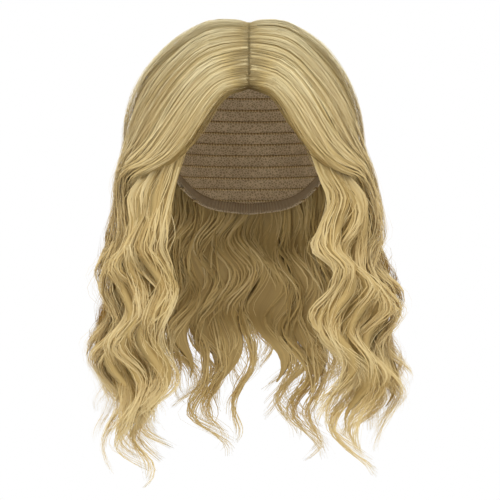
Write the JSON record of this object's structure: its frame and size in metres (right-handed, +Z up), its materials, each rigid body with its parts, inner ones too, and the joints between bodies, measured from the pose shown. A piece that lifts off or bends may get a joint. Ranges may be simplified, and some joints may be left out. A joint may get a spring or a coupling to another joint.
{
  "type": "long wavy wig",
  "caption": "Long wavy wig with a centre parting: hollow cap with an edge band, curtain fringe, side, back and face-framing locks of hair.",
  "frame": {"origin": "inside of the cap's crown, where the top of the wearer's head bears", "axes": "+Z up; the face opening looks along -Y; +X is the wearer's left"},
  "size_m": [0.2939, 0.2226, 0.4262],
  "materials": {
    "hair": "satin golden blonde synthetic fibre",
    "cap_net": "matt light brown net with wefts",
    "band": "matt brown ribbed elastic"
  },
  "bodies": {
    "root": {"cap": "cap_net", "edge_band": "band", "left_fringe_1": "hair", "left_fringe_2": "hair", "left_side_lock_1": "hair", "left_side_lock_2": "hair", "left_back_lock_1": "hair", "left_back_lock_2": "hair", "left_back_lock_3": "hair", "left_face_lock_1": "hair", "left_face_lock_2": "hair", "left_face_lock_3": "hair", "right_fringe_1": "hair", "right_fringe_2": "hair", "right_side_lock_1": "hair", "right_side_lock_2": "hair", "right_back_lock_1": "hair", "right_back_lock_2": "hair", "right_back_lock_3": "hair", "right_face_lock_1": "hair", "right_face_lock_2": "hair", "right_face_lock_3": "hair"}
  },
  "joints": []
}
